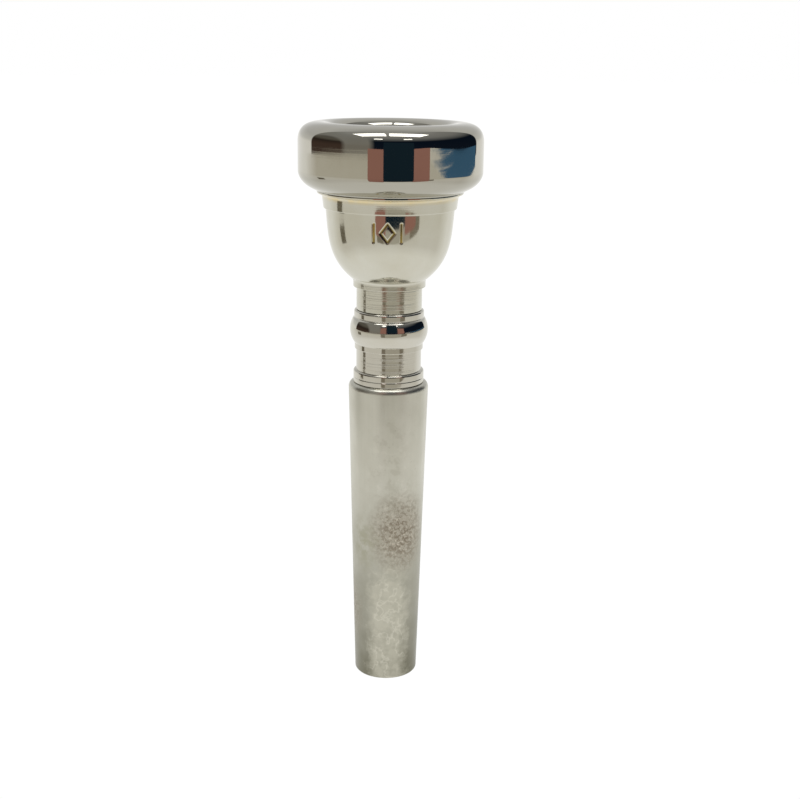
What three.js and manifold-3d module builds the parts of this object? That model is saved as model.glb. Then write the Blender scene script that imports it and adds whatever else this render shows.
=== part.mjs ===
// A trumpet mouthpiece that screws apart, in millimetres. +Z runs up the airway's axis, and
// the origin is the centre of the shank's small end, on which the mouthpiece stands.
//
// From the bottom: a tapered shank sleeve pushes onto the stem, the cup screws into the stem's
// bead, and the rim screws onto the cup. A thin ring of rubber seals each screw joint.
import * as THREE from 'three';
import { mergeVertices } from 'three/addons/utils/BufferGeometryUtils.js';
import Module from 'manifold-3d';

const wasm = await Module();
wasm.setup();

// ---- driving dimensions -------------------------------------------------------------------

const SEGMENTS = 32;

// Airway: a bowl-shaped cup, a straight throat, and a backbore that flares to the shank's end.
const TOTAL_LENGTH = 87.0;
const CREST_RADIUS = 10.3;
const BITE_RADIUS = 8.1;
const BOWL_RADIUS = 7.8;
const CUP_DEPTH = 12.4;
const THROAT_RADIUS = 1.83;
const BACKBORE_TOP = 68.0;
const BACKBORE_EXIT_RADIUS = 4.1;

// Shank: the standard trumpet taper of 1 in 20 on the diameter.
const SHANK_END_RADIUS = 4.915;
const SHANK_SLOPE = 0.025;
const SHANK_TOP = 48.1;
const SHANK_EDGE = 0.35;
const SHOULDER_EDGE = 0.9;
const SHOULDER_TOP_RADIUS = 5.5;

// The stem's tube inside the shank sleeve.
const TUBE_END = 12.25;
const TUBE_END_RADIUS = 4.25;
const TUBE_SLOPE = 0.01;
const TUBE_CHAMFER = { across: 0.15, up: 0.3 };

// Heights and radii of the rings on the stem.
const COLLAR_TOP = 50.05;
const COLLAR_RADIUS = 5.38;
const NECK_RADIUS = 4.95;
const LOWER_RING_BOTTOM = 53.35;
const LOWER_RING_TOP = 54.15;
const LOWER_RING_RADIUS = 5.2;
const BEAD_BOTTOM = 54.25;
const BEAD_MIDDLE = 56.3;
const BEAD_TOP = 58.0;
const BEAD_RADIUS = 5.915;
const BEAD_ARC = 3.465;
const UPPER_RING_BOTTOM = 58.2;
const UPPER_RING_RADIUS = 5.3;
const STEM_TOP = 59.3;
const RING_EDGE = 0.35;

// The cup's outside. Where a line is curved, it is a cubic with these ends and pulls.
const CUP_COLLAR_BOTTOM = 62.85;
const CUP_COLLAR_TOP = 63.55;
const CUP_COLLAR_RADIUS = 5.45;
const BOWL_OUTSIDE = [[5.5, 63.93], [9.14, 66.84], [9.2, 70.0], [9.55, 74.2]];
const BAND_BOTTOM = 74.55;
const BAND_TOP = 76.2;
const BAND_STEP_RADIUS = 9.6;
const BAND_BOTTOM_RADIUS = 9.89;
const BAND_TOP_RADIUS = 10.1;
const COVE_FOOT = [10.23, 76.39];
const COVE_CORNER = [10.35, 76.7];
const SEAT = 77.0;
const SEAT_RADIUS = 10.85;

// The cup's inside, from the rim down to the throat.
const CUP_INSIDE_PULL = [7.55, 78.6];
const CUP_INSIDE_PUSH = [4.9, 76.6];

// The rim: its underside, its wall, the shoulder up to the crest, and down to the bite.
const RIM_RADIUS = 13.62;
const RIM_FOOT_RADIUS = 10.95;
const RIM_UNDERSIDE_PULL = [12.2, 77.65];
const RIM_UNDERSIDE_PUSH = [13.4, 78.4];
const RIM_WALL_BOTTOM = 79.8;
const RIM_WALL_TOP = 84.2;
const RIM_SHOULDER_PULL = [RIM_RADIUS, 86.0];
const RIM_SHOULDER_PUSH = [12.6, TOTAL_LENGTH];
const RIM_BITE_PULL = [9.2, TOTAL_LENGTH];
const RIM_BITE_PUSH = [8.25, 86.6];
const BITE_HEIGHT = 85.6;

// Screw joints: right-hand threads, M19x1 under the rim and M8x1 under the cup.
const PITCH = 1.0;
const THREAD_DEPTH = 0.6;
const CREST_FLAT = 0.06;
const THREAD_LENGTH = 3.7;
const RELIEF_LENGTH = 1.0;
const LEAD_CHAMFER = 0.35;
const RIM_JOINT = { radius: 9.5, bottom: SEAT + RELIEF_LENGTH };
const CUP_JOINT = { radius: 4.0, bottom: STEM_TOP - RELIEF_LENGTH - THREAD_LENGTH };

// Rubber rings and the counterbores that hold them.
const SEAL_HEIGHT = 0.8;
const SEAL_WIDTH = 0.8;
const SEAL_EDGE = 0.2;
const RIM_SEAL_INNER_RADIUS = 9.6;
const CUP_SEAL_INNER_RADIUS = 3.65;

// Clearances.
const FACE_GAP = 0.05;
const SLIDE_GAP = 0.06;
const SEAL_GAP = 0.05;
const THREAD_GAP = 0.1;
const BORE_END_GAP = 0.15;

// How far a thread cut runs past the end of its thread and outside its crests, and the turns by
// which the cutting rod is longer than the thread at each end.
const CUT_OVERRUN = 0.1;
const CUT_MARGIN = 1.0;
const SPARE_TURNS = 2;

const MERGE_TOLERANCE = 1e-4;

// ---- outlines -----------------------------------------------------------------------------

const point = (r, z) => new THREE.Vector2(r, z);

// Points along a cubic curve, both ends included, from four [radius, height] pairs.
function curve(ends, steps) {
  const [from, pull, push, to] = ends.map(([r, z]) => point(r, z));
  return new THREE.CubicBezierCurve(from, pull, push, to).getPoints(steps);
}

// A rounded corner from one point to another; corner is where the two sharp edges would meet.
function rounded(from, corner, to, steps = 3) {
  return new THREE.QuadraticBezierCurve(from, corner, to).getPoints(steps);
}

function backboreRadius(z) {
  const flare = Math.min(z / BACKBORE_TOP, 1);
  return BACKBORE_EXIT_RADIUS + (THROAT_RADIUS - BACKBORE_EXIT_RADIUS) * flare;
}

function shankRadius(z) {
  return SHANK_END_RADIUS + SHANK_SLOPE * z;
}

function tubeRadius(z) {
  return TUBE_END_RADIUS + TUBE_SLOPE * (z - TUBE_END);
}

// ---- solids -------------------------------------------------------------------------------

// A ring turned about +Z. The outline runs up the outside and down the inside.
function turned(outline) {
  const geometry = new THREE.LatheGeometry([...outline, outline[0]], SEGMENTS);
  geometry.rotateX(Math.PI / 2);
  return geometry;
}

function cylinder(radius, bottom, top) {
  const outline = [point(0, bottom), point(radius, bottom), point(radius, top), point(0, top)];
  const geometry = new THREE.LatheGeometry(outline, SEGMENTS);
  geometry.rotateX(Math.PI / 2);
  return geometry;
}

function toSolid(geometry) {
  const bare = geometry.clone();
  bare.deleteAttribute('normal');
  bare.deleteAttribute('uv');
  const merged = mergeVertices(bare, MERGE_TOLERANCE);
  return new wasm.Manifold(new wasm.Mesh({
    numProp: 3,
    vertProperties: new Float32Array(merged.attributes.position.array),
    triVerts: new Uint32Array(merged.index.array),
  }));
}

function toGeometry(solid) {
  const mesh = solid.getMesh();
  const geometry = new THREE.BufferGeometry();
  geometry.setAttribute('position', new THREE.BufferAttribute(mesh.vertProperties, 3));
  geometry.setIndex(new THREE.BufferAttribute(mesh.triVerts, 1));
  geometry.computeVertexNormals();
  return geometry;
}

// A right-hand threaded rod. A crest and a root wind up it side by side, so the row of corners
// that ends one turn is the row two places up at the start of the next.
function threadedRod(rootRadius, crestRadius, bottom, turns) {
  const rows = 2 * turns;
  const corner = (step, row) => {
    const angle = (2 * Math.PI * (step % SEGMENTS)) / SEGMENTS;
    const radius = row % 2 === 0 ? crestRadius : rootRadius;
    const height = bottom + PITCH * (step / SEGMENTS + row / 2);
    return [radius * Math.cos(angle), radius * Math.sin(angle), height];
  };
  const foot = [0, 0, bottom];
  const head = [0, 0, bottom + PITCH * (turns + 1)];
  const corners = [];
  for (let step = 0; step < SEGMENTS; step += 1) {
    for (let row = 0; row < rows; row += 1) {
      corners.push(corner(step, row), corner(step + 1, row), corner(step + 1, row + 1));
      corners.push(corner(step, row), corner(step + 1, row + 1), corner(step, row + 1));
    }
    corners.push(foot, corner(step + 1, 0), corner(step, 0));
    corners.push(head, corner(step, rows), corner(step + 1, rows));
  }
  for (let row = 0; row < 2; row += 1) {
    corners.push(foot, corner(0, row), corner(0, row + 1));
    corners.push(head, corner(0, rows + row + 1), corner(0, rows + row));
  }
  const geometry = new THREE.BufferGeometry();
  geometry.setAttribute('position', new THREE.Float32BufferAttribute(corners.flat(), 3));
  return toSolid(mergeVertices(geometry, MERGE_TOLERANCE));
}

// The rod of a screw joint. Male and female threads use the same rod, so that they mesh, and
// the female one is larger by the clearance. It reaches past the thread at both ends.
function jointRod(joint, clearance) {
  const crest = joint.radius + CREST_FLAT + clearance;
  const root = joint.radius - THREAD_DEPTH + clearance;
  const turns = Math.ceil(THREAD_LENGTH / PITCH) + SPARE_TURNS + 1;
  return threadedRod(root, crest, joint.bottom - SPARE_TURNS * PITCH, turns);
}

// Cuts the outside thread's groove between two heights.
function cutMaleThread(body, joint, bottom, top) {
  const reach = toSolid(cylinder(joint.radius + CUT_MARGIN, bottom, top));
  return body.subtract(reach.subtract(jointRod(joint, 0)));
}

// Taps the inside thread between two heights.
function cutFemaleThread(body, joint, bottom, top) {
  const reach = toSolid(cylinder(joint.radius + CUT_MARGIN, bottom, top));
  return body.subtract(jointRod(joint, THREAD_GAP).intersect(reach));
}

// The hole before tapping, a little wider than the thread's root, which flattens its crests.
function tappedBore(joint) {
  return joint.radius - THREAD_DEPTH + THREAD_GAP + CREST_FLAT;
}

// ---- the six pieces -----------------------------------------------------------------------

// The tapered shank that goes into the instrument. It carries the last of the backbore.
function shankSleeve() {
  const edgeTop = SHANK_TOP - SHOULDER_EDGE;
  const socketEnd = TUBE_END - FACE_GAP;
  const socket = (z) => tubeRadius(z) + SLIDE_GAP;
  return turned([
    point(BACKBORE_EXIT_RADIUS, 0),
    ...rounded(
      point(SHANK_END_RADIUS - SHANK_EDGE, 0),
      point(SHANK_END_RADIUS, 0),
      point(shankRadius(SHANK_EDGE), SHANK_EDGE),
    ),
    ...rounded(
      point(shankRadius(edgeTop), edgeTop),
      point(shankRadius(SHANK_TOP), SHANK_TOP),
      point(SHOULDER_TOP_RADIUS, SHANK_TOP),
    ),
    point(socket(SHANK_TOP), SHANK_TOP),
    point(socket(socketEnd), socketEnd),
    point(backboreRadius(socketEnd), socketEnd),
  ]);
}

// The body between shank and cup: an inner tube, a collar, a neck and the beaded socket.
function stem() {
  const chamferTop = TUBE_END + TUBE_CHAMFER.up;
  const collarBottom = SHANK_TOP + FACE_GAP;
  const beadCentre = BEAD_RADIUS - BEAD_ARC;
  const beadPoint = (z) => {
    const rise = z - BEAD_MIDDLE;
    return point(beadCentre + Math.sqrt(BEAD_ARC ** 2 - rise ** 2), z);
  };
  const bead = [];
  const beadSteps = 6;
  for (let step = 0; step <= beadSteps; step += 1) {
    bead.push(beadPoint(BEAD_BOTTOM + ((BEAD_TOP - BEAD_BOTTOM) * step) / beadSteps));
  }
  const sealSeat = STEM_TOP - SEAL_HEIGHT - SEAL_GAP;
  const sealRadius = CUP_SEAL_INNER_RADIUS + SEAL_WIDTH + SEAL_GAP;
  const boreBottom = CUP_JOINT.bottom - BORE_END_GAP;
  const body = toSolid(turned([
    point(backboreRadius(TUBE_END), TUBE_END),
    point(TUBE_END_RADIUS - TUBE_CHAMFER.across, TUBE_END),
    point(tubeRadius(chamferTop), chamferTop),
    point(tubeRadius(collarBottom), collarBottom),
    point(COLLAR_RADIUS, collarBottom),
    ...rounded(
      point(COLLAR_RADIUS, COLLAR_TOP - RING_EDGE),
      point(COLLAR_RADIUS, COLLAR_TOP),
      point(NECK_RADIUS, COLLAR_TOP),
    ),
    point(NECK_RADIUS, LOWER_RING_BOTTOM),
    point(LOWER_RING_RADIUS, LOWER_RING_BOTTOM),
    point(LOWER_RING_RADIUS, LOWER_RING_TOP),
    ...bead,
    point(UPPER_RING_RADIUS, UPPER_RING_BOTTOM),
    ...rounded(
      point(UPPER_RING_RADIUS, STEM_TOP - RING_EDGE),
      point(UPPER_RING_RADIUS, STEM_TOP),
      point(NECK_RADIUS, STEM_TOP),
    ),
    point(sealRadius, STEM_TOP),
    point(sealRadius, sealSeat),
    point(tappedBore(CUP_JOINT), sealSeat),
    point(tappedBore(CUP_JOINT), boreBottom),
    point(backboreRadius(boreBottom), boreBottom),
  ]));
  return toGeometry(cutFemaleThread(body, CUP_JOINT, CUP_JOINT.bottom, sealSeat + CUT_OVERRUN));
}

// The cup: a bowl above a neck, with a screw spigot at each end.
function cup() {
  const foot = STEM_TOP + FACE_GAP;
  const spigotEnd = CUP_JOINT.bottom;
  const lowerThreadTop = spigotEnd + THREAD_LENGTH;
  const upperThreadBottom = RIM_JOINT.bottom;
  const spigotTop = upperThreadBottom + THREAD_LENGTH;
  const throatTop = TOTAL_LENGTH - CUP_DEPTH;
  const lowerRelief = CUP_JOINT.radius - THREAD_DEPTH - CREST_FLAT;
  const upperRelief = RIM_JOINT.radius - THREAD_DEPTH - CREST_FLAT;
  const inside = [
    [BOWL_RADIUS, spigotTop],
    CUP_INSIDE_PULL,
    CUP_INSIDE_PUSH,
    [THROAT_RADIUS, throatTop],
  ];
  const outline = [
    point(backboreRadius(spigotEnd), spigotEnd),
    point(CUP_JOINT.radius - LEAD_CHAMFER, spigotEnd),
    point(CUP_JOINT.radius, spigotEnd + LEAD_CHAMFER),
    point(CUP_JOINT.radius, lowerThreadTop),
    point(lowerRelief, lowerThreadTop),
    point(lowerRelief, foot),
    point(NECK_RADIUS, foot),
    point(NECK_RADIUS, CUP_COLLAR_BOTTOM),
    point(CUP_COLLAR_RADIUS, CUP_COLLAR_BOTTOM),
    point(CUP_COLLAR_RADIUS, CUP_COLLAR_TOP),
    ...curve(BOWL_OUTSIDE, 8),
    point(BAND_STEP_RADIUS, BAND_BOTTOM),
    point(BAND_BOTTOM_RADIUS, BAND_BOTTOM),
    point(BAND_TOP_RADIUS, BAND_TOP),
    ...rounded(point(...COVE_FOOT), point(...COVE_CORNER), point(SEAT_RADIUS, SEAT), 2),
    point(upperRelief, SEAT),
    point(upperRelief, upperThreadBottom),
    point(RIM_JOINT.radius, upperThreadBottom),
    point(RIM_JOINT.radius, spigotTop - LEAD_CHAMFER),
    point(RIM_JOINT.radius - LEAD_CHAMFER, spigotTop),
    ...curve(inside, 6),
    point(THROAT_RADIUS, BACKBORE_TOP),
  ];
  let body = toSolid(turned(outline));
  body = cutMaleThread(body, CUP_JOINT, spigotEnd - CUT_OVERRUN, lowerThreadTop + CUT_OVERRUN);
  body = cutMaleThread(body, RIM_JOINT, upperThreadBottom - CUT_OVERRUN, spigotTop + CUT_OVERRUN);
  return toGeometry(body);
}

// The rim that the lips rest on.
function rim() {
  const bottom = SEAT + FACE_GAP;
  const sealTop = bottom + SEAL_HEIGHT + SEAL_GAP;
  const sealRadius = RIM_SEAL_INNER_RADIUS + SEAL_WIDTH + SEAL_GAP;
  const ledge = RIM_JOINT.bottom + THREAD_LENGTH + BORE_END_GAP;
  const foot = [RIM_FOOT_RADIUS, bottom];
  const wallBottom = [RIM_RADIUS, RIM_WALL_BOTTOM];
  const wallTop = [RIM_RADIUS, RIM_WALL_TOP];
  const crest = [CREST_RADIUS, TOTAL_LENGTH];
  const bite = [BITE_RADIUS, BITE_HEIGHT];
  const body = toSolid(turned([
    point(sealRadius, bottom),
    ...curve([foot, RIM_UNDERSIDE_PULL, RIM_UNDERSIDE_PUSH, wallBottom], 4),
    ...curve([wallTop, RIM_SHOULDER_PULL, RIM_SHOULDER_PUSH, crest], 6),
    ...curve([crest, RIM_BITE_PULL, RIM_BITE_PUSH, bite], 4).slice(1),
    point(BOWL_RADIUS, ledge),
    point(tappedBore(RIM_JOINT), ledge),
    point(tappedBore(RIM_JOINT), sealTop),
    point(sealRadius, sealTop),
  ]));
  return toGeometry(cutFemaleThread(body, RIM_JOINT, sealTop - CUT_OVERRUN, ledge - BORE_END_GAP));
}

// A rubber ring with eased edges, standing on a face at the given height.
function seal(innerRadius, bottom) {
  const outer = innerRadius + SEAL_WIDTH;
  const top = bottom + SEAL_HEIGHT;
  return turned([
    point(innerRadius + SEAL_EDGE, bottom),
    point(outer - SEAL_EDGE, bottom),
    point(outer, bottom + SEAL_EDGE),
    point(outer, top - SEAL_EDGE),
    point(outer - SEAL_EDGE, top),
    point(innerRadius + SEAL_EDGE, top),
    point(innerRadius, top - SEAL_EDGE),
    point(innerRadius, bottom + SEAL_EDGE),
  ]);
}

// ---- the assembly -------------------------------------------------------------------------

const mouthpiece = new THREE.Group();

function add(name, geometry, color, roughness, metalness) {
  const material = new THREE.MeshStandardMaterial({ color, roughness, metalness });
  const mesh = new THREE.Mesh(geometry, material);
  mesh.name = name;
  mouthpiece.add(mesh);
}

add('shank_sleeve', shankSleeve(), 0xaea893, 0.45, 1.0);
add('stem', stem(), 0xc9c7bd, 0.15, 1.0);
add('cup_seal', seal(CUP_SEAL_INNER_RADIUS, STEM_TOP - SEAL_HEIGHT), 0x2a2a2c, 0.8, 0.0);
add('cup', cup(), 0xcbc9bf, 0.12, 1.0);
add('rim_seal', seal(RIM_SEAL_INNER_RADIUS, SEAT + FACE_GAP), 0x2a2a2c, 0.8, 0.0);
add('rim', rim(), 0xd2d0c6, 0.08, 1.0);

export default mouthpiece;
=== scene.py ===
"""Looks of a trumpet mouthpiece that screws apart: silver plate over brass, with a satin shank.

Every piece is a closed ring turned about +Z, and stands for one CAD node. Outlines are given in
millimetres, as radius and height, and meshes are made in metres in the part's frame.
"""
import math

import bpy
from mathutils import Euler, Matrix, Vector


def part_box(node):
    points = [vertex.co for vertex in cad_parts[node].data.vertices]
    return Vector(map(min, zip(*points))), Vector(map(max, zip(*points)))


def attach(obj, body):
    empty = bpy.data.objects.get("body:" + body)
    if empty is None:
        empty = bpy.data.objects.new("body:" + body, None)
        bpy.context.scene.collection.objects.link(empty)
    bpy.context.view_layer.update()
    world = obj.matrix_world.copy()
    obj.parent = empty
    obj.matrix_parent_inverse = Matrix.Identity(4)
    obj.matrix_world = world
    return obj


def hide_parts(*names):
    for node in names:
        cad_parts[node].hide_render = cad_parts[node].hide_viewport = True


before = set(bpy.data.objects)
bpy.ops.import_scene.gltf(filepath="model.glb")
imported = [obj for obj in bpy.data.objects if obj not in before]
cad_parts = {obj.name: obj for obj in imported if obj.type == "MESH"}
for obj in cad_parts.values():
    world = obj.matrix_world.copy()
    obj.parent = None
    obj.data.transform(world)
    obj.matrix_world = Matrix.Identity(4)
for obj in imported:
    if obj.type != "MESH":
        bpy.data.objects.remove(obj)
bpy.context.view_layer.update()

MM = 0.001


# ---- sizes, in millimetres ----------------------------------------------------------------


def extent(node):
    """A node's lowest height, highest height and largest radius."""
    low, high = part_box(node)
    return low[2] / MM, high[2] / MM, high[0] / MM


SLEEVE_BOTTOM, SLEEVE_TOP = extent("shank_sleeve")[:2]
TUBE_END, STEM_TOP, BEAD_RADIUS = extent("stem")
CUP_SPIGOT_END, RIM_SPIGOT_TOP, SEAT_RADIUS = extent("cup")
RIM_BOTTOM, TOTAL_LENGTH, RIM_RADIUS = extent("rim")
CUP_SEAL_BOTTOM, CUP_SEAL_TOP, CUP_SEAL_RADIUS = extent("cup_seal")
RIM_SEAL_BOTTOM, RIM_SEAL_TOP, RIM_SEAL_RADIUS = extent("rim_seal")

FACE_GAP = 0.05
SLIDE_GAP = 0.06
SEAL_WIDTH = 0.8

# Airway.
EXIT_RADIUS = 4.1
THROAT_RADIUS = 1.83
BACKBORE_TOP = 68.0
BOWL_RADIUS = 7.8
CUP_DEPTH = 12.4
BITE = (8.1, 85.6)
CREST_RADIUS = 10.3

# Shank and tube.
SHANK_END_RADIUS = 4.915
SHANK_SLOPE = 0.025
SHOULDER_EDGE = 0.9
SHOULDER_TOP_RADIUS = 5.5
TUBE_END_RADIUS = 4.25
TUBE_SLOPE = 0.01

# Rings of the stem.
COLLAR_TOP = 50.05
COLLAR_RADIUS = 5.38
NECK_RADIUS = 4.95
COLLAR_GROOVE = 48.95
LOWER_RING_BOTTOM = 53.35
LOWER_RING_RADIUS = 5.2
BEAD_BOTTOM = 54.25
BEAD_MIDDLE = 56.3
BEAD_TOP = 58.0
BEAD_ARC = 3.465
UPPER_RING_RADIUS = 5.3
RING_EDGE = 0.35

# Outside of the cup.
CUP_FOOT = STEM_TOP + FACE_GAP
CUP_COLLAR_BOTTOM = 62.85
CUP_COLLAR_TOP = 63.55
CUP_COLLAR_RADIUS = 5.45
BOWL_OUTSIDE = ((5.5, 63.93), (9.14, 66.84), (9.2, 70.0), (9.55, 74.2))
BAND_BOTTOM = 74.55
BAND_BOTTOM_RADIUS = 9.89
BAND_TOP = 76.2
BAND_TOP_RADIUS = 10.1
SEAT = RIM_BOTTOM - FACE_GAP

# Wall of the rim.
RIM_WALL_BOTTOM = 80.0
RIM_WALL_TOP = 84.0

# Screw joints: the same right-hand helix cuts both mating pieces.
PITCH = 1.0
THREAD_DEPTH = 0.6
THREAD_GAP = 0.1
THREAD_LENGTH = 3.7
LEAD_CHAMFER = 0.35
RELIEF_DEPTH = 0.66
CUP_THREAD = {"radius": 4.0, "bottom": CUP_SPIGOT_END}
RIM_THREAD = {"radius": 9.5, "bottom": RIM_SPIGOT_TOP - THREAD_LENGTH}
THREAD_ROW = PITCH / 12
CREST_SHARE = 0.14
FLANK_SHARE = 0.72

# The stamped mark on the front of the bowl.
MARK_HEIGHT = 71.95
MARK_SHIFT = -0.35
MARK_HALF_WIDTH = 2.9
MARK_HALF_HEIGHT = 1.9
MARK_DEPTH = 0.13
STROKE_HALF_WIDTH = 0.17
STROKE_EDGE = 0.09
MARK_SPAN = math.radians(40)
MARK_STEPS = 120
MARK_ROW = 0.06
BOWL_ROW = 0.22

STEPS_AROUND = 256
FRONT = -math.pi / 2


# ---- outlines -----------------------------------------------------------------------------


def backbore(height):
    """Radius of the airway below the throat."""
    flare = min(height / BACKBORE_TOP, 1.0)
    return EXIT_RADIUS + (THROAT_RADIUS - EXIT_RADIUS) * flare


def shank(height):
    return SHANK_END_RADIUS + SHANK_SLOPE * height


def tube(height):
    return TUBE_END_RADIUS + TUBE_SLOPE * (height - TUBE_END)


def smooth(points):
    """Points of a curve, which are kept as they are."""
    return [(r, z, None) for r, z in points]


def cubic(start, pull, push, end, steps):
    """Points along a cubic curve, both ends included."""
    points = []
    for step in range(steps + 1):
        t = step / steps
        s = 1 - t
        weights = (s ** 3, 3 * s * s * t, 3 * s * t * t, t ** 3)
        corners = (start, pull, push, end)
        points.append(tuple(sum(w * c[i] for w, c in zip(weights, corners)) for i in (0, 1)))
    return smooth(points)


def rows(radius, start, end, spacing):
    """A straight upright stretch cut into fine rows."""
    count = max(1, round(abs(end - start) / spacing))
    return smooth([(radius, start + (end - start) * i / count) for i in range(count + 1)])


def round_corners(corners, guard=0.07):
    """A closed outline with each corner (radius, height, fillet) rounded by its fillet.

    A guard point beside each fillet keeps the flat next to it flat in smooth shading.
    """
    outline = []
    count = len(corners)
    for i, (r, z, fillet) in enumerate(corners):
        here = Vector((r, z))
        if fillet is None:
            outline.append(here)
            continue
        before = Vector(corners[i - 1][:2]) - here
        after = Vector(corners[(i + 1) % count][:2]) - here
        room = min(before.length, after.length) * 0.45
        turn = before.angle(after)
        reach = fillet / math.tan(turn / 2)
        if reach > room:
            fillet *= room / reach
            reach = room
        before.normalize()
        after.normalize()
        centre = here + (before + after).normalized() * (fillet / math.sin(turn / 2))
        start = here + before * reach - centre
        sweep = start.angle_signed(here + after * reach - centre)
        steps = max(2, math.ceil(abs(sweep) / math.radians(12 if fillet > 0.15 else 25)))
        margin = min(guard, room - reach + 1e-4)
        outline.append(here + before * (reach + margin))
        for step in range(steps + 1):
            angle = -sweep * step / steps
            cos, sin = math.cos(angle), math.sin(angle)
            arm = Vector((start.x * cos - start.y * sin, start.x * sin + start.y * cos))
            outline.append(centre + arm)
        outline.append(here + after * (reach + margin))
    return [(p.x, p.y) for p in outline]


# ---- meshes -------------------------------------------------------------------------------


def even_angles():
    return [2 * math.pi * i / STEPS_AROUND for i in range(STEPS_AROUND)]


def turned(name, outline, angles=None, shape=None):
    """A closed ring turned about +Z. shape(angle, r, z) may change a point's radius."""
    angles = angles or even_angles()
    vertices = []
    for angle in angles:
        cos, sin = math.cos(angle), math.sin(angle)
        for r, z in outline:
            radius = shape(angle, r, z) if shape else r
            vertices.append((radius * cos * MM, radius * sin * MM, z * MM))
    tall, around = len(outline), len(angles)
    faces = []
    for i in range(around):
        here, there = i * tall, ((i + 1) % around) * tall
        for j in range(tall):
            k = (j + 1) % tall
            faces.append((here + j, there + j, there + k, here + k))
    mesh = bpy.data.meshes.new(name)
    mesh.from_pydata(vertices, [], faces)
    mesh.polygons.foreach_set("use_smooth", [True] * len(faces))
    mesh.update()
    piece = bpy.data.objects.new(name, mesh)
    bpy.context.scene.collection.objects.link(piece)
    return piece


def thread_depth(thread, angle, z):
    """How deep the helical groove is at a point, from 0 on the crest to THREAD_DEPTH."""
    turn = (z - thread["bottom"]) / PITCH - angle / (2 * math.pi)
    off_crest = 2 * abs(turn - round(turn))
    flank = min(max((off_crest - CREST_SHARE) / FLANK_SHARE, 0.0), 1.0)
    return THREAD_DEPTH * flank


def inside_thread(thread, z):
    return thread["bottom"] - 1e-6 <= z <= thread["bottom"] + THREAD_LENGTH + 1e-6


def male(thread, angle, r, z):
    return min(r, thread["radius"] - thread_depth(thread, angle, z))


def female(thread, angle, r, z):
    return max(r, thread["radius"] + THREAD_GAP - thread_depth(thread, angle, z))


def tapped(thread):
    return thread["radius"] - THREAD_DEPTH + THREAD_GAP + 0.06


# ---- the pieces ---------------------------------------------------------------------------


def make_sleeve():
    socket_end = TUBE_END - FACE_GAP
    edge_bottom = SLEEVE_TOP - SHOULDER_EDGE
    corners = [
        (EXIT_RADIUS, SLEEVE_BOTTOM, 0.1),
        (shank(SLEEVE_BOTTOM), SLEEVE_BOTTOM, 0.38),
        *cubic(
            (shank(edge_bottom), edge_bottom),
            (shank(SLEEVE_TOP) - 0.02, SLEEVE_TOP - 0.5),
            (shank(SLEEVE_TOP) - 0.2, SLEEVE_TOP - 0.08),
            (SHOULDER_TOP_RADIUS, SLEEVE_TOP),
            14,
        ),
        (tube(SLEEVE_TOP) + SLIDE_GAP, SLEEVE_TOP, 0.1),
        (tube(socket_end) + SLIDE_GAP, socket_end, 0.05),
        (backbore(socket_end), socket_end, 0.05),
    ]
    return turned("sleeve_shell", round_corners(corners))


def ring_edge(radius, top):
    """The softened upper edge of a ring, from its wall in to the neck."""
    wall = (radius, top - RING_EDGE)
    inner = (NECK_RADIUS + 0.03, top)
    return cubic(wall, (radius, top - RING_EDGE * 0.3), (radius - 0.12, top), inner, 10)


def make_stem():
    collar_bottom = SLEEVE_TOP + FACE_GAP
    bead_centre = BEAD_RADIUS - BEAD_ARC
    bead = []
    for step in range(33):
        z = BEAD_BOTTOM + (BEAD_TOP - BEAD_BOTTOM) * step / 32
        bead.append((bead_centre + math.sqrt(BEAD_ARC ** 2 - (z - BEAD_MIDDLE) ** 2), z))
    seal_seat = CUP_SEAL_BOTTOM - FACE_GAP
    seal_wall = CUP_SEAL_RADIUS + FACE_GAP
    bore = tapped(CUP_THREAD)
    bore_bottom = CUP_THREAD["bottom"] - 0.15
    corners = [
        (backbore(TUBE_END), TUBE_END, 0.05),
        (TUBE_END_RADIUS, TUBE_END, 0.2),
        (tube(collar_bottom), collar_bottom, 0.05),
        (COLLAR_RADIUS, collar_bottom, 0.06),
        (COLLAR_RADIUS, COLLAR_GROOVE - 0.1, 0.04),
        (COLLAR_RADIUS - 0.05, COLLAR_GROOVE, 0.03),
        (COLLAR_RADIUS, COLLAR_GROOVE + 0.1, 0.04),
        *ring_edge(COLLAR_RADIUS, COLLAR_TOP),
        (NECK_RADIUS, COLLAR_TOP + 0.02, 0.05),
        (NECK_RADIUS, LOWER_RING_BOTTOM, 0.06),
        (LOWER_RING_RADIUS, LOWER_RING_BOTTOM, 0.06),
        (LOWER_RING_RADIUS, BEAD_BOTTOM - 0.05, 0.05),
        *smooth(bead),
        (UPPER_RING_RADIUS - 0.08, BEAD_TOP + 0.15, 0.1),
        (UPPER_RING_RADIUS, BEAD_TOP + 0.3, 0.1),
        *ring_edge(UPPER_RING_RADIUS, STEM_TOP),
        (seal_wall, STEM_TOP, 0.08),
        (seal_wall, seal_seat, 0.05),
        (bore, seal_seat, 0.05),
        *rows(bore, CUP_THREAD["bottom"] + THREAD_LENGTH, CUP_THREAD["bottom"], THREAD_ROW),
        (bore, bore_bottom, 0.03),
        (backbore(bore_bottom), bore_bottom, 0.05),
    ]

    def shape(angle, r, z):
        in_bore = inside_thread(CUP_THREAD, z) and bore - 0.01 < r < bore + 0.01
        return female(CUP_THREAD, angle, r, z) if in_bore else r

    return turned("stem_body", round_corners(corners), shape=shape)


def stroke_distance(u, v, ends):
    """Distance from a point to a straight stroke."""
    (ax, ay), (bx, by) = ends
    dx, dy = bx - ax, by - ay
    along = ((u - ax) * dx + (v - ay) * dy) / (dx * dx + dy * dy)
    along = min(max(along, 0.0), 1.0)
    return math.hypot(u - ax - along * dx, v - ay - along * dy)


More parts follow.
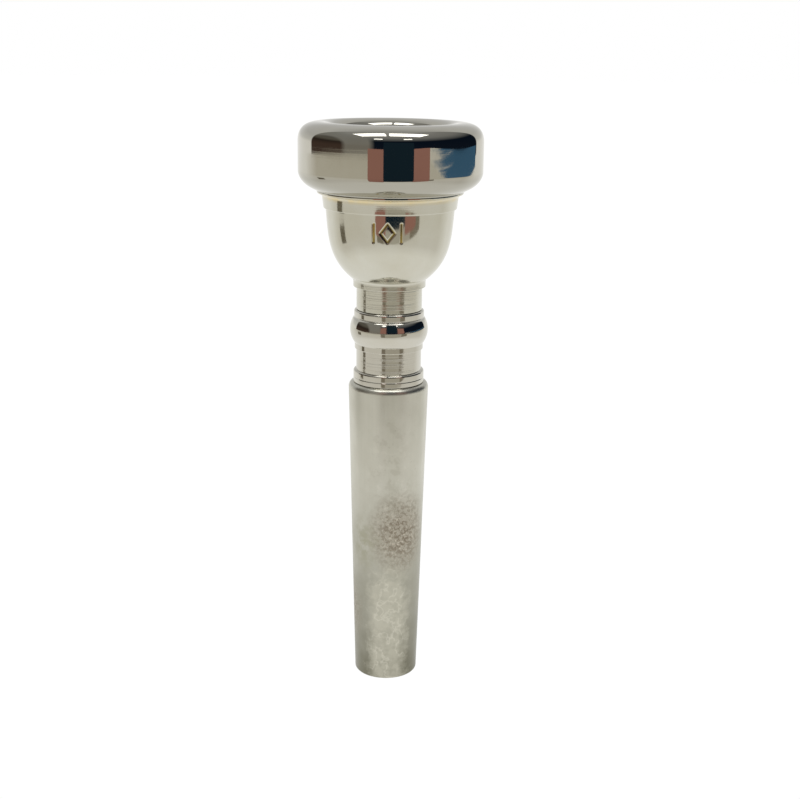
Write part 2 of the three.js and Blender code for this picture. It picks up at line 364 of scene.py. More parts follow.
def mark_strokes():
    """A lozenge between two upright bars."""
    wide, tall, bar = 1.0, 1.3, 2.0
    tips = [(0, tall), (wide, 0), (0, -tall), (-wide, 0)]
    strokes = [(tips[i], tips[(i + 1) % 4]) for i in range(4)]
    for side in (-1, 1):
        strokes.append(((side * bar, -tall), (side * bar, tall)))
    return strokes


STROKES = mark_strokes()


def mark_fill(u, v):
    """1 inside the mark's strokes and 0 outside, with a soft edge."""
    nearest = min(stroke_distance(u, v, ends) for ends in STROKES)
    t = (STROKE_HALF_WIDTH + STROKE_EDGE - nearest) / (2 * STROKE_EDGE)
    t = min(max(t, 0.0), 1.0)
    return t * t * (3 - 2 * t)


def cup_angles():
    """Even steps around, with much finer ones across the mark."""
    half = MARK_SPAN / 2
    step = MARK_SPAN / MARK_STEPS
    fine = [FRONT - half + step * i for i in range(MARK_STEPS + 1)]
    coarse_span = 2 * math.pi - MARK_SPAN
    coarse_count = round(coarse_span / (2 * math.pi) * STEPS_AROUND)
    coarse_step = coarse_span / coarse_count
    return fine + [FRONT + half + coarse_step * i for i in range(1, coarse_count)]


def mark_at(angle, r, z):
    """The mark's fill at a point of the cup's outside."""
    if r < 8.5 or abs(z - MARK_HEIGHT) > MARK_HALF_HEIGHT:
        return 0.0
    off = (angle - FRONT + math.pi) % (2 * math.pi) - math.pi
    across = off * r - MARK_SHIFT
    if abs(across) > MARK_HALF_WIDTH:
        return 0.0
    return mark_fill(across, z - MARK_HEIGHT)


def bowl_outline():
    """The bowl's outside, from foot to shoulder, with close rows behind the mark."""
    curve = cubic(*BOWL_OUTSIDE, 400)
    low, high = MARK_HEIGHT - MARK_HALF_HEIGHT, MARK_HEIGHT + MARK_HALF_HEIGHT
    kept = [curve[0]]
    for point in curve[1:]:
        spacing = MARK_ROW if low < point[1] < high else BOWL_ROW
        if math.dist(point[:2], kept[-1][:2]) >= spacing:
            kept.append(point)
    return kept


def cup_foot(relief):
    """Corners of the lower spigot, from the airway out to the neck."""
    radius, top = CUP_THREAD["radius"], CUP_THREAD["bottom"] + THREAD_LENGTH
    return [
        (backbore(CUP_SPIGOT_END), CUP_SPIGOT_END, 0.08),
        (radius - LEAD_CHAMFER, CUP_SPIGOT_END, 0.04),
        *rows(radius, CUP_SPIGOT_END + LEAD_CHAMFER, top - 0.02, THREAD_ROW),
        (radius, top, 0.01),
        (relief, top, 0.03),
        (relief, CUP_FOOT, 0.05),
        (NECK_RADIUS, CUP_FOOT, 0.05),
    ]


def cup_outside():
    """Corners of the neck, collar, bowl, band and cove, up to the seat."""
    return [
        (NECK_RADIUS, CUP_COLLAR_BOTTOM, 0.06),
        (CUP_COLLAR_RADIUS, CUP_COLLAR_BOTTOM, 0.06),
        (CUP_COLLAR_RADIUS, CUP_COLLAR_TOP, 0.05),
        *bowl_outline(),
        (9.58, BAND_BOTTOM - 0.03, 0.06),
        (BAND_BOTTOM_RADIUS, BAND_BOTTOM, 0.13),
        *cubic(
            (BAND_TOP_RADIUS, BAND_TOP),
            (10.16, BAND_TOP + 0.25),
            (10.4, SEAT - 0.36),
            (10.62, SEAT - 0.28),
            12,
        ),
        (SEAT_RADIUS, SEAT - 0.26, 0.12),
        (SEAT_RADIUS, SEAT, 0.03),
    ]


def cup_top(relief):
    """Corners of the upper spigot, from the seat in to the bowl."""
    radius, bottom = RIM_THREAD["radius"], RIM_THREAD["bottom"]
    return [
        (relief, SEAT, 0.05),
        (relief, bottom, 0.03),
        (radius, bottom, 0.01),
        *rows(radius, bottom + 0.02, RIM_SPIGOT_TOP - LEAD_CHAMFER, THREAD_ROW),
        (radius - LEAD_CHAMFER, RIM_SPIGOT_TOP, 0.04),
        (BOWL_RADIUS, RIM_SPIGOT_TOP, 0.05),
    ]


def cup_inside():
    """Corners of the bowl's inside and the throat."""
    throat_top = TOTAL_LENGTH - CUP_DEPTH
    return [
        *cubic(
            (7.79, 81.5),
            (7.55, 78.6),
            (4.9, 76.6),
            (THROAT_RADIUS + 0.25, throat_top + 0.12),
            40,
        ),
        (THROAT_RADIUS, throat_top - 0.3, 0.3),
        (THROAT_RADIUS, BACKBORE_TOP, 0.3),
    ]


def make_cup():
    lower_relief = CUP_THREAD["radius"] - RELIEF_DEPTH
    upper_relief = RIM_THREAD["radius"] - RELIEF_DEPTH
    corners = cup_foot(lower_relief) + cup_outside() + cup_top(upper_relief) + cup_inside()

    def shape(angle, r, z):
        if inside_thread(RIM_THREAD, z) and r > upper_relief + 0.01:
            return male(RIM_THREAD, angle, r, z)
        if inside_thread(CUP_THREAD, z) and r > lower_relief + 0.01:
            return male(CUP_THREAD, angle, r, z)
        return r - MARK_DEPTH * mark_at(angle, r, z)

    angles = cup_angles()
    outline = round_corners(corners)
    piece = turned("cup_body", outline, angles, shape)
    stamp = piece.data.attributes.new("stamp", "FLOAT", "POINT")
    stamp.data.foreach_set("value", [mark_at(a, r, z) for a in angles for r, z in outline])
    return piece


def make_rim():
    seal_top = RIM_SEAL_TOP + FACE_GAP
    seal_wall = RIM_SEAL_RADIUS + FACE_GAP
    ledge = RIM_THREAD["bottom"] + THREAD_LENGTH + 0.15
    crest = (CREST_RADIUS, TOTAL_LENGTH)
    bore = tapped(RIM_THREAD)
    corners = [
        (seal_wall, RIM_BOTTOM, 0.05),
        (SEAT_RADIUS + 0.1, RIM_BOTTOM, 0.09),
        *cubic(
            (SEAT_RADIUS + 0.2, RIM_BOTTOM + 0.17),
            (12.2, 77.65),
            (13.4, 78.4),
            (RIM_RADIUS, RIM_WALL_BOTTOM - 0.2),
            28,
        ),
        (RIM_RADIUS, RIM_WALL_BOTTOM, None),
        (RIM_RADIUS, RIM_WALL_TOP, None),
        *cubic(
            (RIM_RADIUS, RIM_WALL_TOP + 0.2),
            (RIM_RADIUS, 86.0),
            (12.6, TOTAL_LENGTH),
            crest,
            36,
        ),
        *cubic(crest, (9.2, TOTAL_LENGTH), (8.25, 86.6), BITE, 24)[1:],
        (BOWL_RADIUS, ledge, 0.05),
        (bore, ledge, 0.05),
        *rows(bore, RIM_THREAD["bottom"] + THREAD_LENGTH, RIM_THREAD["bottom"], THREAD_ROW),
        (bore, seal_top, 0.01),
        (seal_wall, seal_top, 0.05),
    ]

    def shape(angle, r, z):
        in_bore = inside_thread(RIM_THREAD, z) and bore - 0.01 < r < bore + 0.01
        return female(RIM_THREAD, angle, r, z) if in_bore else r

    return turned("rim_ring", round_corners(corners), shape=shape)


def make_seal(name, outer, bottom, top):
    edge = (top - bottom) * 0.4
    inner = outer - SEAL_WIDTH
    corners = [(inner, bottom, edge), (outer, bottom, edge), (outer, top, edge), (inner, top, edge)]
    return turned(name, round_corners(corners, guard=0.02))


# ---- materials ----------------------------------------------------------------------------


BRASS = (0.72, 0.55, 0.22)
BLACK = (0.0, 0.0, 0.0, 1.0)


class Nodes:
    """Adds shader nodes to a tree and links them."""

    def __init__(self, tree):
        self.tree = tree

    def add(self, kind, inputs=None, **settings):
        node = self.tree.nodes.new(kind)
        for key, value in settings.items():
            setattr(node, key, value)
        for key, value in (inputs or {}).items():
            self.put(node.inputs[key], value)
        return node

    def put(self, socket, value):
        if isinstance(value, bpy.types.NodeSocket):
            self.tree.links.new(value, socket)
        else:
            socket.default_value = value

    def math(self, operation, first, second=0.0, clamp=False):
        inputs = {0: first, 1: second}
        return self.add("ShaderNodeMath", inputs, operation=operation, use_clamp=clamp).outputs[0]

    def spread(self, value, low, high, top=1.0):
        """0 where value is low, changing evenly to top where it is high."""
        inputs = {"Value": value, "From Min": low, "From Max": high, "To Max": top}
        return self.add("ShaderNodeMapRange", inputs).outputs[0]

    def ramp(self, value, *stops):
        """A straight ramp through (position, grey or colour) stops."""
        node = self.add("ShaderNodeValToRGB", {"Fac": value})
        elements = node.color_ramp.elements
        while len(elements) < len(stops):
            elements.new(0.5)
        for element, (position, colour) in zip(elements, stops):
            element.position = position
            if isinstance(colour, float):
                colour = (colour, colour, colour)
            element.color = (*colour, 1.0)
        return node.outputs["Color"]

    def mix(self, factor, first, second):
        node = self.add("ShaderNodeMix", data_type="RGBA")
        self.put(node.inputs["Factor"], factor)
        self.put(node.inputs["A"], first if not isinstance(first, tuple) else (*first, 1.0))
        self.put(node.inputs["B"], second if not isinstance(second, tuple) else (*second, 1.0))
        return node.outputs["Result"]


class Graph(Nodes):
    """The nodes of a new material."""

    def __init__(self, name):
        self.material = bpy.data.materials.new(name)
        self.material.use_nodes = True
        super().__init__(self.material.node_tree)
        self.shader = self.tree.nodes["Principled BSDF"]

    def set(self, name, value):
        """Sets one of the shader's own inputs, or links it."""
        self.put(self.shader.inputs[name], value)

    def noise(self, vector, scale, detail=4.0, roughness=0.55):
        inputs = {"Vector": vector, "Scale": scale, "Detail": detail, "Roughness": roughness}
        return self.add("ShaderNodeTexNoise", inputs).outputs["Fac"]

    def bump(self, strength, distance, height):
        inputs = {"Strength": strength, "Distance": distance, "Height": height}
        self.set("Normal", self.add("ShaderNodeBump", inputs).outputs[0])

    def paint(self, colour, coat, mask, amount):
        """The colour, covered by a coat where the mask is 1."""
        return self.mix(self.math("MULTIPLY", mask, amount), colour, coat)

    def place(self):
        """The point's position on the piece, and its distance from the axis and height."""
        point = self.add("ShaderNodeTexCoord").outputs["Object"]
        parts = self.add("ShaderNodeSeparateXYZ", {0: point}).outputs
        squares = [self.math("MULTIPLY", parts[i], parts[i]) for i in (0, 1)]
        radius = self.math("SQRT", self.math("ADD", *squares))
        return point, parts, radius

    def lathe_lines(self, parts, radius, scale):
        """Noise that only changes with height and radius, and so runs round the piece."""
        drift = self.math("MULTIPLY", parts[0], 0.004)
        lines = self.add("ShaderNodeCombineXYZ", {0: drift, 1: radius, 2: parts[2]}).outputs[0]
        return self.noise(lines, scale, 3.0, 0.7)

    def near(self, value, middle, reach):
        """1 where value is at middle, falling to 0 at reach from it."""
        gap = self.math("ABSOLUTE", self.math("SUBTRACT", value, middle))
        return self.math("SUBTRACT", 1.0, self.math("DIVIDE", gap, reach), clamp=True)

    def patch(self, point, middle, reach, tall=1.0):
        """1 at a place in millimetres, falling to 0 at reach from it. tall stretches it upward."""
        squash = (1.0, 1.0, 1.0 / tall)
        scaled = self.add("ShaderNodeVectorMath", {0: point, 1: squash}, operation="MULTIPLY")
        x, y, z = middle
        ends = {0: scaled.outputs[0], 1: (x * MM, y * MM, z * MM / tall)}
        gap = self.add("ShaderNodeVectorMath", ends, operation="DISTANCE").outputs["Value"]
        return self.math("SUBTRACT", 1.0, self.math("DIVIDE", gap, reach * MM), clamp=True)


def plated(name, tint, gloss, tarnish):
    """Polished silver plate, with turning marks, wipe marks and a little tarnish."""
    g = Graph(name)
    point, parts, radius = g.place()
    cloud = g.noise(point, 190.0, 5.0)
    fine = g.noise(point, 1600.0, 4.0, 0.6)
    lines = g.lathe_lines(parts, radius, 5200.0)
    dull = g.ramp(cloud, (0.35, 0.0), (0.75, 1.0))
    shade = tuple(c * k for c, k in zip(tint, (0.86, 0.83, 0.76)))
    colour = g.mix(g.math("MULTIPLY", dull, tarnish), tint, shade)
    speck = g.ramp(fine, (0.68, 0.0), (0.78, 1.0))
    colour = g.paint(colour, (0.32, 0.27, 0.2), speck, 0.25 * tarnish)
    rough = g.math("ADD", gloss, g.math("MULTIPLY", dull, gloss))
    marks = g.math("MULTIPLY", g.ramp(lines, (0.5, 0.0), (0.8, 1.0)), gloss)
    g.set("Metallic", 1.0)
    return g, parts, radius, colour, g.math("ADD", rough, marks)


def finish_plated(g, colour, rough):
    g.set("Base Color", colour)
    g.set("Roughness", rough)
    return g.material


def turning_marks(g, parts, radius, depth):
    """Fine rings left by the lathe, with a few deeper grooves. depth is 0 where they are gone."""
    fine = g.lathe_lines(parts, radius, 6000.0)
    groove = g.ramp(g.lathe_lines(parts, radius, 3400.0), (0.5, 0.0), (0.62, 1.0))
    relief = g.math("ADD", g.math("MULTIPLY", fine, 0.5), groove)
    g.bump(1.0, 7e-6, g.math("MULTIPLY", relief, depth))


def rim_material():
    """Painted shade makes its underside, just below the wall, a little darker than the rest."""
    tint = (0.54, 0.525, 0.465)
    g, parts, radius, colour, rough = plated("rim_polished_silver", tint, 0.022, 0.35)
    turning_marks(g, parts, radius, 0.015)
    # Painted shade: the underside below the wall is darkened towards (0.34, 0.33, 0.28).
    under = g.spread(parts[2], 80.1 * MM, 79.2 * MM, 0.6)
    return finish_plated(g, g.mix(under, colour, (0.34, 0.33, 0.28)), rough)


def cup_material():
    """Brass shows through in the cove under the seat and in the stamped mark."""
    tint = (0.6, 0.59, 0.515)
    g, parts, radius, colour, rough = plated("cup_polished_silver", tint, 0.05, 0.6)
    neck = g.spread(parts[2], 65.5 * MM, 63.0 * MM)
    band = g.near(parts[2], BAND_TOP * MM, 1.7 * MM)
    depth = g.math("ADD", 0.03, g.math("MULTIPLY", neck, 0.8))
    depth = g.math("ADD", depth, g.math("MULTIPLY", band, 0.25))
    turning_marks(g, parts, radius, depth)
    worn = g.noise(g.place()[0], 420.0, 4.0)
    cove = g.near(parts[2], (SEAT - 0.6) * MM, 0.6 * MM)
    cove = g.math("MULTIPLY", cove, g.math("GREATER_THAN", radius, 9.7 * MM))
    cove = g.math("MULTIPLY", cove, g.ramp(worn, (0.35, 0.15), (0.6, 0.6)))
    colour = g.mix(cove, colour, BRASS)
    stamp = g.add("ShaderNodeAttribute", attribute_name="stamp").outputs["Fac"]
    olive = g.mix(g.ramp(worn, (0.4, 0.0), (0.6, 1.0)), (0.42, 0.3, 0.05), (0.2, 0.16, 0.03))
    colour = g.paint(colour, olive, stamp, 0.9)
    rough = g.math("ADD", rough, g.math("MULTIPLY", stamp, 0.15))
    rough = g.math("ADD", rough, g.math("MULTIPLY", neck, 0.04))
    return finish_plated(g, colour, rough)


def stem_material():
    """Its neck keeps the turning marks that the bead and rings have lost."""
    tint = (0.6, 0.585, 0.525)
    g, parts, radius, colour, rough = plated("stem_polished_silver", tint, 0.05, 0.6)
    middle = (COLLAR_TOP + LOWER_RING_BOTTOM) / 2
    neck = g.ramp(g.near(parts[2], middle * MM, 2.4 * MM), (0.3, 0.1), (0.45, 0.8))
    turning_marks(g, parts, radius, neck)
    return finish_plated(g, colour, rough)


def sleeve_plate(g, parts, cloud):
    """Dull plate, with painted shade towards its small end, where it mirrors the shaded floor at its
    foot.
    """
    height = g.math("MULTIPLY", parts[2], 0.06)
    upright = g.add("ShaderNodeCombineXYZ", {0: parts[0], 1: parts[1], 2: height})
    streaks = g.noise(upright.outputs[0], 520.0, 4.0, 0.6)
    dull = g.ramp(cloud, (0.35, 0.0), (0.7, 1.0))
    colour = g.mix(dull, (0.66, 0.65, 0.58), (0.6, 0.585, 0.51))
    colour = g.mix(g.ramp(streaks, (0.35, 0.0), (0.7, 0.6)), colour, (0.54, 0.54, 0.46))
    # Painted shade: darker towards the small end, where the shank mirrors the shaded floor at its
    # foot.
    low = g.near(parts[2], 0.0, 36.0 * MM)
    foot_shade = g.math("MULTIPLY", low, g.ramp(cloud, (0.2, 0.8), (0.6, 1.0)))
    return g.mix(foot_shade, colour, (0.17, 0.165, 0.12))


def sleeve_stains(g, point, colour, fleck, grain):
    """Brown patches with dark flecks and pale spots. Also gives the patches and the flecks."""
    tint = g.math("MULTIPLY", g.patch(point, (2.0, -5.2, 25.0), 5.5, 1.4), 1.4, clamp=True)
    around = g.patch(point, (4.4, 3.2, 17.0), 4.6, 1.8)
    around = g.math("ADD", around, g.patch(point, (-3.4, 4.2, 27.0), 4.4, 1.6))
    around = g.math("ADD", around, g.patch(point, (-5.0, -0.6, 11.0), 3.6, 1.8))
    tint = g.math("ADD", tint, g.math("MULTIPLY", around, 0.8), clamp=True)
    colour = g.paint(colour, (0.38, 0.34, 0.275), tint, 0.7)
    stain = g.math("MULTIPLY", tint, g.ramp(fleck, (0.46, 0.0), (0.56, 1.0)))
    colour = g.paint(colour, (0.22, 0.18, 0.13), stain, 0.65)
    spot = g.math("MULTIPLY", tint, g.ramp(grain, (0.56, 0.0), (0.64, 1.0)))
    return g.paint(colour, (0.68, 0.63, 0.53), spot, 0.65), tint, stain


def sleeve_scuffs_and_reflected_shade(g, point, colour, blot):
    """A mottled stretch below the shoulder, and an olive patch on the left that is a painted
    reflection of shaded table beside the foot.
    """
    scuff = g.math("MULTIPLY", g.patch(point, (0.6, -5.6, 35.0), 4.6, 2.6), 2.0, clamp=True)
    pale = g.math("MULTIPLY", scuff, g.ramp(blot, (0.54, 0.0), (0.62, 1.0)))
    dark = g.math("MULTIPLY", scuff, g.ramp(blot, (0.38, 1.0), (0.46, 0.0)))
    colour = g.paint(colour, (0.78, 0.76, 0.68), pale, 0.2)
    colour = g.paint(colour, (0.42, 0.4, 0.33), dark, 0.3)
    # Painted reflection: the olive patch on the left stands for shade on the table, mirrored in the
    # shank.
    left = g.patch(point, (-3.6, -4.0, 23.0), 3.6, 1.5)
    side = g.math("MULTIPLY", left, g.ramp(blot, (0.42, 0.0), (0.56, 1.0)))
    return g.paint(colour, (0.34, 0.33, 0.24), side, 0.8)


def sleeve_rubbing(g, point, parts, colour, blot):
    """Ragged pale patches near the small end, front and back. Also gives their raised veins."""
    front = g.near(parts[1], -5.0 * MM, 3.4 * MM)
    front = g.math("MULTIPLY", front, g.near(parts[0], 0.3 * MM, 4.6 * MM))
    face = g.math("ADD", front, g.math("MULTIPLY", g.near(parts[1], 5.2 * MM, 3.0 * MM), 0.5))
    low = g.math("MULTIPLY", g.near(parts[2], 8.0 * MM, 13.0 * MM), 2.0, clamp=True)
    ragged = g.math("MULTIPLY", g.math("SUBTRACT", blot, 0.5), 0.9)
    rubbed = g.math("ADD", g.math("MULTIPLY", face, low), ragged)
    rubbed = g.math("MULTIPLY", g.math("SUBTRACT", rubbed, 0.14), 2.5, clamp=True)
    patchy = g.ramp(g.noise(point, 900.0, 5.0, 0.6), (0.38, 0.48), (0.56, 0.68))
    colour = g.mix(g.math("MULTIPLY", rubbed, patchy), colour, (0.57, 0.555, 0.465))
    vein = g.math("MULTIPLY", g.near(g.noise(point, 300.0, 3.0, 0.6), 0.5, 0.03), rubbed)
    return g.paint(colour, (0.78, 0.76, 0.66), vein, 0.3), vein


def sleeve_material():
    """Dull plate, stained brown in patches, rubbed pale near its small end, with painted shade
    towards that end and a painted reflection of shade on its left.
    """
    g = Graph("shank_satin_silver")
    point, parts, radius = g.place()
    cloud = g.noise(point, 130.0, 6.0, 0.6)
    blot = g.noise(point, 620.0, 6.0, 0.65)
    fleck = g.noise(point, 1900.0, 4.0, 0.7)
    grain = g.noise(point, 3200.0, 4.0, 0.6)
    lines = g.lathe_lines(parts, radius, 3600.0)
    colour = sleeve_plate(g, parts, cloud)
    colour, tint, stain = sleeve_stains(g, point, colour, fleck, grain)
    colour = sleeve_scuffs_and_reflected_shade(g, point, colour, blot)
    colour, vein = sleeve_rubbing(g, point, parts, colour, blot)
    colour = g.paint(colour, (0.24, 0.21, 0.16), g.ramp(grain, (0.66, 0.0), (0.74, 1.0)), 0.35)
    rough = g.math("ADD", 0.24, g.math("MULTIPLY", cloud, 0.18))
    g.set("Metallic", 1.0)
    g.set("Base Color", colour)
    g.set("Roughness", g.math("ADD", rough, g.math("MULTIPLY", stain, 0.15)))
    relief = g.math("ADD", g.math("MULTIPLY", lines, 0.4), g.math("MULTIPLY", blot, 0.8))
    relief = g.math("ADD", relief, g.math("MULTIPLY", fleck, g.math("ADD", 0.2, tint)))
    g.bump(0.5, 8e-6, g.math("ADD", relief, g.math("MULTIPLY", vein, 0.6)))
    return g.material


def rubber_material():
    g = Graph("seal_black_rubber")
    dust = g.noise(g.place()[0], 900.0, 5.0)
    dusty = g.ramp(dust, (0.4, 0.0), (0.75, 1.0))
    g.set("Base Color", g.mix(dusty, (0.018, 0.018, 0.02), (0.05, 0.048, 0.045)))
    g.set("Roughness", g.math("ADD", 0.5, g.math("MULTIPLY", dust, 0.3)))
    g.bump(0.4, 1e-5, dust)
    return g.material


# ---- assembly -----------------------------------------------------------------------------


def fit(piece, node, material):
    piece.data.materials.append(material)
    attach(piece, node)
    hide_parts(node)


rubber = rubber_material()
fit(make_sleeve(), "shank_sleeve", sleeve_material())
fit(make_stem(), "stem", stem_material())
fit(make_cup(), "cup", cup_material())
fit(make_rim(), "rim", rim_material())
cup_ring = make_seal("cup_seal_ring", CUP_SEAL_RADIUS, CUP_SEAL_BOTTOM, CUP_SEAL_TOP)
fit(cup_ring, "cup_seal", rubber)
rim_ring = make_seal("rim_seal_ring", RIM_SEAL_RADIUS, RIM_SEAL_BOTTOM, RIM_SEAL_TOP)
fit(rim_ring, "rim_seal", rubber)


# ---- stage, light and camera --------------------------------------------------------------


SHEET_LEVEL = -0.03 * MM
FLOOR_RADIUS = 4.0
MIRRORED_RADIUS = 1.052


def glow(name, colour, strength=1.0):
    """A material that only gives off light."""
    material = bpy.data.materials.new(name)
    material.use_nodes = True
    nodes = Nodes(material.node_tree)
    nodes.tree.nodes.clear()
    emission = nodes.add("ShaderNodeEmission", {"Color": (*colour, 1.0), "Strength": strength})
    nodes.add("ShaderNodeOutputMaterial", {"Surface": emission.outputs[0]})
    return material


def panel(name, centre, size, turn, material):
    """An upright studio card, seen only in reflections. turn is about +Z, in degrees."""
    w, h = size[0] / 2, size[1] / 2
    mesh = bpy.data.meshes.new(name)
    mesh.from_pydata([(-w, 0, -h), (w, 0, -h), (w, 0, h), (-w, 0, h)], [], [(0, 1, 2, 3)])
    card = bpy.data.objects.new(name, mesh)
    card.location = centre
    card.rotation_euler = (0, 0, math.radians(turn))
    card.visible_camera = False
    card.visible_shadow = False
    card.visible_diffuse = False
    card.data.materials.append(material)
    bpy.context.scene.collection.objects.link(card)
    return card


def card(name, across, up, along, material):
    """A panel square to the front, between two heights and two sideways places."""
    centre = ((across[0] + across[1]) / 2, along, (up[0] + up[1]) / 2)
    return panel(name, centre, (across[1] - across[0], up[1] - up[0]), 0, material)


def lit(name, strength):
    """The nodes of a material that takes no light, and gives off a colour still to be set."""
    g = Graph(name)
    g.set("Base Color", BLACK)
    g.set("Specular IOR Level", 0.0)
    g.set("Emission Strength", strength)
    return g


def streaked(name):
    """A card of fine streaks, blue on white. They slope so that they look level in the rim's wall."""
    g = lit(name, 1.0)
    parts = g.place()[1]
    height = g.math("SUBTRACT", parts[2], g.math("MULTIPLY", parts[0], 0.045))
    level = g.noise(g.add("ShaderNodeCombineXYZ", {2: height}).outputs[0], 800.0, 1.0, 0.5)
    fade = g.math("ADD", level, g.math("MULTIPLY", parts[0], 1.5))
    streak = g.ramp(fade, (0.43, 0.0), (0.48, 1.0))
    g.set("Emission Color", g.mix(streak, (0.72, 0.69, 0.62), (0.055, 0.14, 0.25)))
    return g.material


def sheet(name, outline, material):
    """A level sheet at the foot of the object."""
    mesh = bpy.data.meshes.new(name)
    mesh.from_pydata([(x, y, SHEET_LEVEL) for x, y in outline], [], [tuple(range(len(outline)))])
    top = bpy.data.objects.new(name, mesh)
    top.data.materials.append(material)
    bpy.context.scene.collection.objects.link(top)
    return top


def ring_points(radius, count):
    """Points of a circle about the axis."""
    turns = [2 * math.pi * i / count for i in range(count)]
    return [(radius * math.cos(turn), radius * math.sin(turn)) for turn in turns]


def table(name, stops, strength, behind):
    """Gives off light that changes with the distance from the object, in metres.

    From below it is clear, so that the underside can be looked at.
    """
    g = lit(name, strength)
    parts, radius = g.place()[1:]
    back = g.spread(g.math("DIVIDE", parts[1], radius), 0.2, 0.6)
    g.set("Roughness", 1.0)
    g.set("Emission Color", g.mix(back, g.ramp(radius, *stops), behind))
    below = g.add("ShaderNodeNewGeometry").outputs["Backfacing"]
    sides = g.add("ShaderNodeMixShader", {"Fac": below, 1: g.shader.outputs[0]})
    g.put(sides.inputs[2], g.add("ShaderNodeBsdfTransparent").outputs[0])
    g.put(g.tree.nodes["Material Output"].inputs["Surface"], sides.outputs[0])
    return g.material


def floor():
    """A plain white floor, and a round twin of it that only reflections see."""
    white = table("floor_white", [(0.0, 1.0), (1.0, 1.0)], 1.02, (1.0, 1.0, 1.0))
    shown = sheet("floor", ring_points(FLOOR_RADIUS, 64), white)
    shown.visible_glossy = False
    stops = [
        (0.0, (1.0, 0.99, 0.97)), (0.09, (0.98, 0.97, 0.94)), (0.15, (0.8, 0.78, 0.74)),
        (0.3, (0.77, 0.75, 0.69)), (0.8, (0.63, 0.6, 0.52)), (1.0, (0.63, 0.6, 0.52)),
    ]
    pale = table("floor_mirrored", stops, 1.0, (0.97, 0.965, 0.94))
    seen = sheet("floor_mirrored", ring_points(MIRRORED_RADIUS, 96), pale)
    seen.visible_camera = False
    seen.visible_diffuse = False
    seen.visible_shadow = False


def studio_world():
    """White to the camera. In reflections, a room: pale behind the object, dark in front."""
    world = bpy.data.worlds.new("studio")
    bpy.context.scene.world = world
    world.use_nodes = True
    w = Nodes(world.node_tree)
    w.tree.nodes.clear()
    direction = w.add("ShaderNodeTexCoord").outputs["Generated"]
    across, along, up = w.add("ShaderNodeSeparateXYZ", {0: direction}).outputs
    level = w.math("SQRT", w.math("SUBTRACT", 1.0, w.math("MULTIPLY", up, up)))
    skew = w.math("SUBTRACT", along, w.math("MULTIPLY", across, 0.138))
    behind = w.math("DIVIDE", skew, w.math("MAXIMUM", level, 0.001))
    ceiling = (0.43, 0.43, 0.43)
    corner = w.ramp(
        up,
        (0.0, (0.07, 0.045, 0.035)), (0.2, (0.035, 0.025, 0.02)), (0.33, (0.13, 0.12, 0.1)),
        (0.6, (0.13, 0.125, 0.12)), (0.75, (0.27, 0.27, 0.26)), (1.0, ceiling),
    )
    left = w.ramp(
        up,
        (0.0, (0.25, 0.235, 0.21)), (0.14, (0.27, 0.26, 0.24)), (0.5, (0.27, 0.265, 0.25)),
        (0.75, (0.29, 0.29, 0.28)), (1.0, ceiling),
    )
    right = w.ramp(
        up,
        (0.0, (0.006, 0.01, 0.02)), (0.37, (0.004, 0.008, 0.018)), (0.5, (0.12, 0.125, 0.13)),
        (0.67, (0.25, 0.25, 0.25)), (0.85, (0.3, 0.3, 0.3)), (1.0, ceiling),
    )
    back = w.ramp(
        up,
        (0.0, (0.98, 0.97, 0.95)), (0.1, (0.76, 0.76, 0.75)), (0.35, (0.62, 0.62, 0.62)),
        (0.7, (0.66, 0.66, 0.66)), (0.87, (0.58, 0.58, 0.58)), (1.0, ceiling),
    )
    front = w.mix(w.spread(across, -0.45, -0.33), left, right)
    front = w.mix(w.spread(across, -0.89, -0.83), corner, front)
    room = w.mix(w.spread(behind, 0.51, 0.535), front, back)
    path = w.add("ShaderNodeLightPath")
    shown = w.mix(path.outputs["Is Camera Ray"], room, (1.0, 1.0, 1.0))
    background = w.add("ShaderNodeBackground", {"Color": shown})
    w.add("ShaderNodeOutputWorld", {"Surface": background.outputs[0]})


def lamp(name, location, target, size, power):
    """A soft rectangular lamp that faces a point."""
    data = bpy.data.lights.new(name, "AREA")
    data.shape = "RECTANGLE"
    data.size, data.size_y = size
    data.energy = power
    lamp_object = bpy.data.objects.new(name, data)
    lamp_object.location = location
    aim = Vector(target) - Vector(location)
    lamp_object.rotation_euler = aim.to_track_quat("-Z", "Y").to_euler()
    bpy.context.scene.collection.objects.link(lamp_object)
    return lamp_object


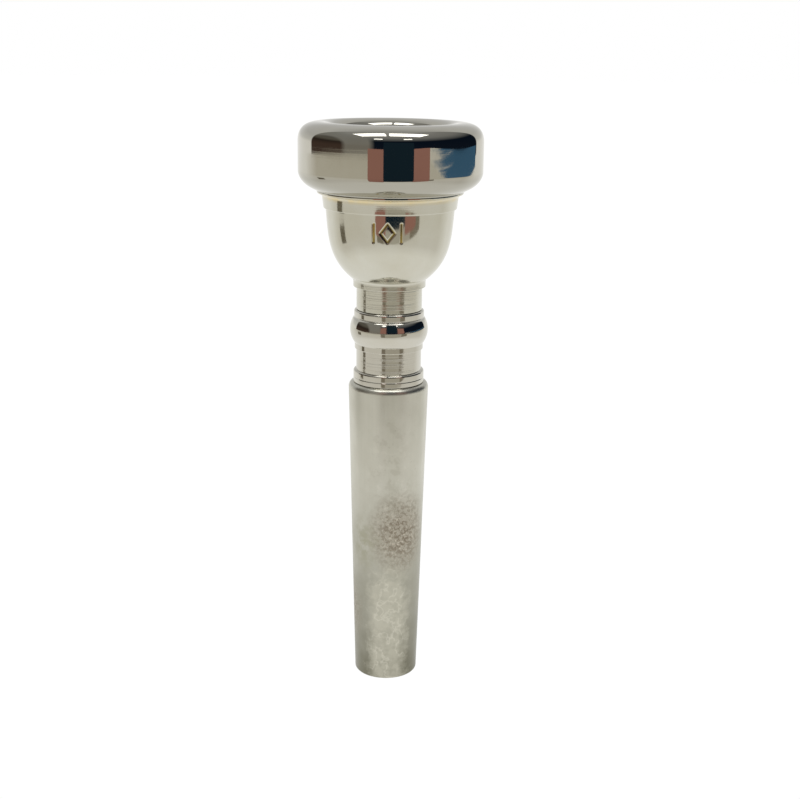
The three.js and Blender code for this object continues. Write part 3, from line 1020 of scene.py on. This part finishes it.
def camera():
    """Close, a little above the rim, and turned slightly off the axis. Lengths are in metres."""
    distance, height = 0.1893, 0.0974
    pitch, aside, lean = 15.46, 0.55, 0.74
    focal_share = 1272.8 / 800
    data = bpy.data.cameras.new("camera")
    data.sensor_width = 36.0
    data.lens = 36.0 * focal_share
    data.clip_start = 0.01
    view = bpy.data.objects.new("camera", data)
    view.location = (0, -distance, height)
    turn = Euler((math.radians(90 - pitch), 0, math.radians(-aside)))
    look = turn.to_matrix() @ Matrix.Rotation(math.radians(lean), 3, "Z")
    view.rotation_euler = look.to_euler()
    bpy.context.scene.collection.objects.link(view)
    bpy.context.scene.camera = view


floor()
studio_world()
camera()
lamp("lamp_left", (-0.29, -0.33, 0.9), (-0.29, -0.33, 0.0), (0.44, 0.36), 1.9)
lamp("lamp_right", (0.245, -0.33, 0.9), (0.245, -0.33, 0.0), (0.53, 0.36), 2.2)
navy = glow("card_navy", (0.01, 0.022, 0.034))
warm = glow("card_warm", (0.38, 0.19, 0.155))
blue = glow("card_blue", (0.055, 0.14, 0.25))
grey = glow("card_grey", (0.5, 0.475, 0.41))
dusk = glow("card_dusk", (0.26, 0.23, 0.18))
post = glow("card_post", (0.19, 0.17, 0.13))
bright = glow("card_bright", (1.0, 1.0, 1.0), 3.0)
card("card_dark", (-0.0066, 0.0228), (0.0593, 0.097), -0.05, navy)
card("card_warm_left", (-0.0225, -0.0066), (0.0555, 0.0813), -0.05, warm)
card("card_warm_right", (0.0228, 0.0475), (0.0555, 0.0813), -0.05, warm)
card("card_grey_low", (-0.03, 0.11), (0.0, 0.045), -0.15, grey)
card("card_dusk_left", (-0.065, -0.03), (0.0, 0.045), -0.15, dusk)
card("card_dusk_right", (0.11, 0.2), (0.0, 0.045), -0.15, dusk)
panel("card_blue_right", (0.3, 0.101, 0.0556), (0.218, 0.0121), 90, blue)
panel("card_blue_streaks", (0.3, -0.1415, 0.0556), (0.267, 0.0121), 90, streaked("card_streaks"))
panel("card_post_left", (-0.15, 0.0135, 0.0248), (0.033, 0.0245), 90, post)
panel("card_window_left", (-0.2, -0.66, 0.58), (0.14, 0.08), -16, bright)
panel("card_window_right", (0.27, -0.64, 0.58), (0.14, 0.08), 23, bright)

bpy.context.scene.view_settings.view_transform = "Standard"
